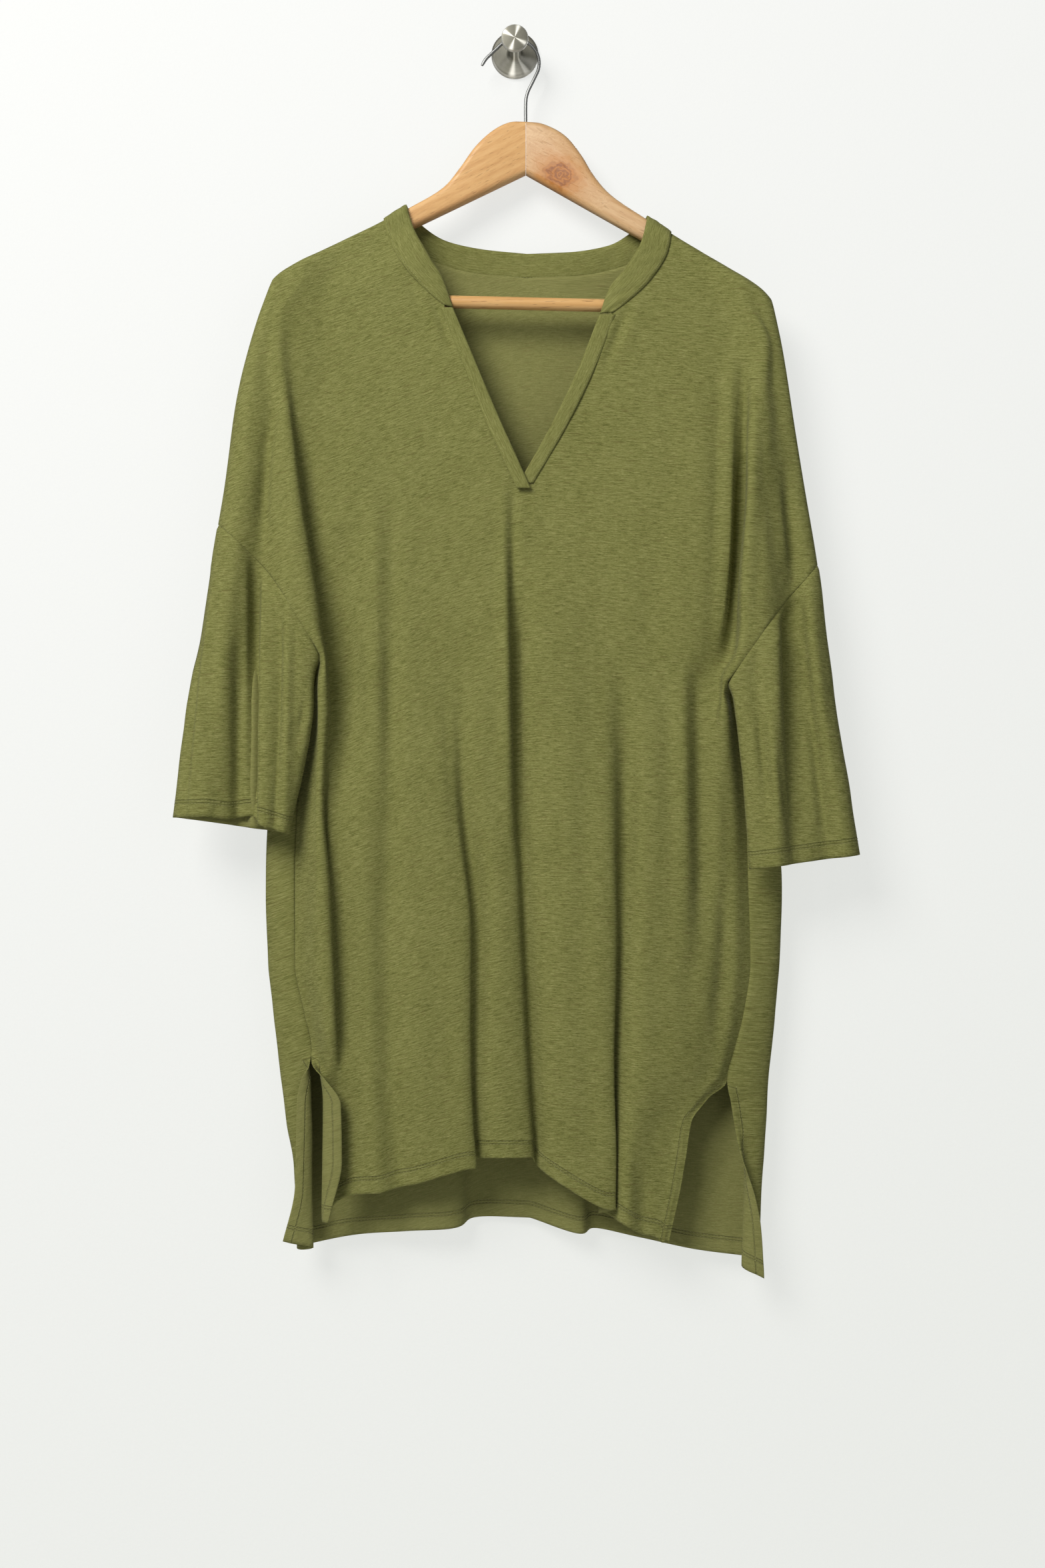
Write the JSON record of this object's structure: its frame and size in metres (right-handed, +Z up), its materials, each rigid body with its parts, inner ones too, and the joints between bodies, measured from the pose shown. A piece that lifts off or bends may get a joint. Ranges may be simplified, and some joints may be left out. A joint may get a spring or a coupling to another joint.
{
  "type": "tunic blouse on hanger",
  "caption": "Loose knitted-linen tunic with a banded V neck, wide elbow sleeves and side slits, hung on a wooden hanger from a round wall knob.",
  "frame": {"origin": "centre of the back face of the wall knob's plate, on the wall that the hanger's hook hangs from", "axes": "+Z up, -Y out of the wall towards the viewer, who sees the front of the garment; +X to the viewer's right, which is the wearer's left"},
  "size_m": [0.6168, 0.0805, 1.1417],
  "materials": {
    "cloth": "matt, slubby linen jersey",
    "wood_right": "thin clear varnish",
    "wood_left": "thin clear varnish",
    "wire": "polished",
    "steel": "brushed"
  },
  "bodies": {
    "root": {"front": "cloth", "back": "cloth", "sleeve_right": "cloth", "sleeve_left": "cloth", "collar_band": "cloth", "placket_right": "cloth", "placket_left": "cloth", "hanger_arm_right": "wood_right", "hanger_arm_left": "wood_left", "hanger_bar": "wood_left", "hanger_hook": "wire", "wall_knob": "steel"}
  },
  "joints": []
}
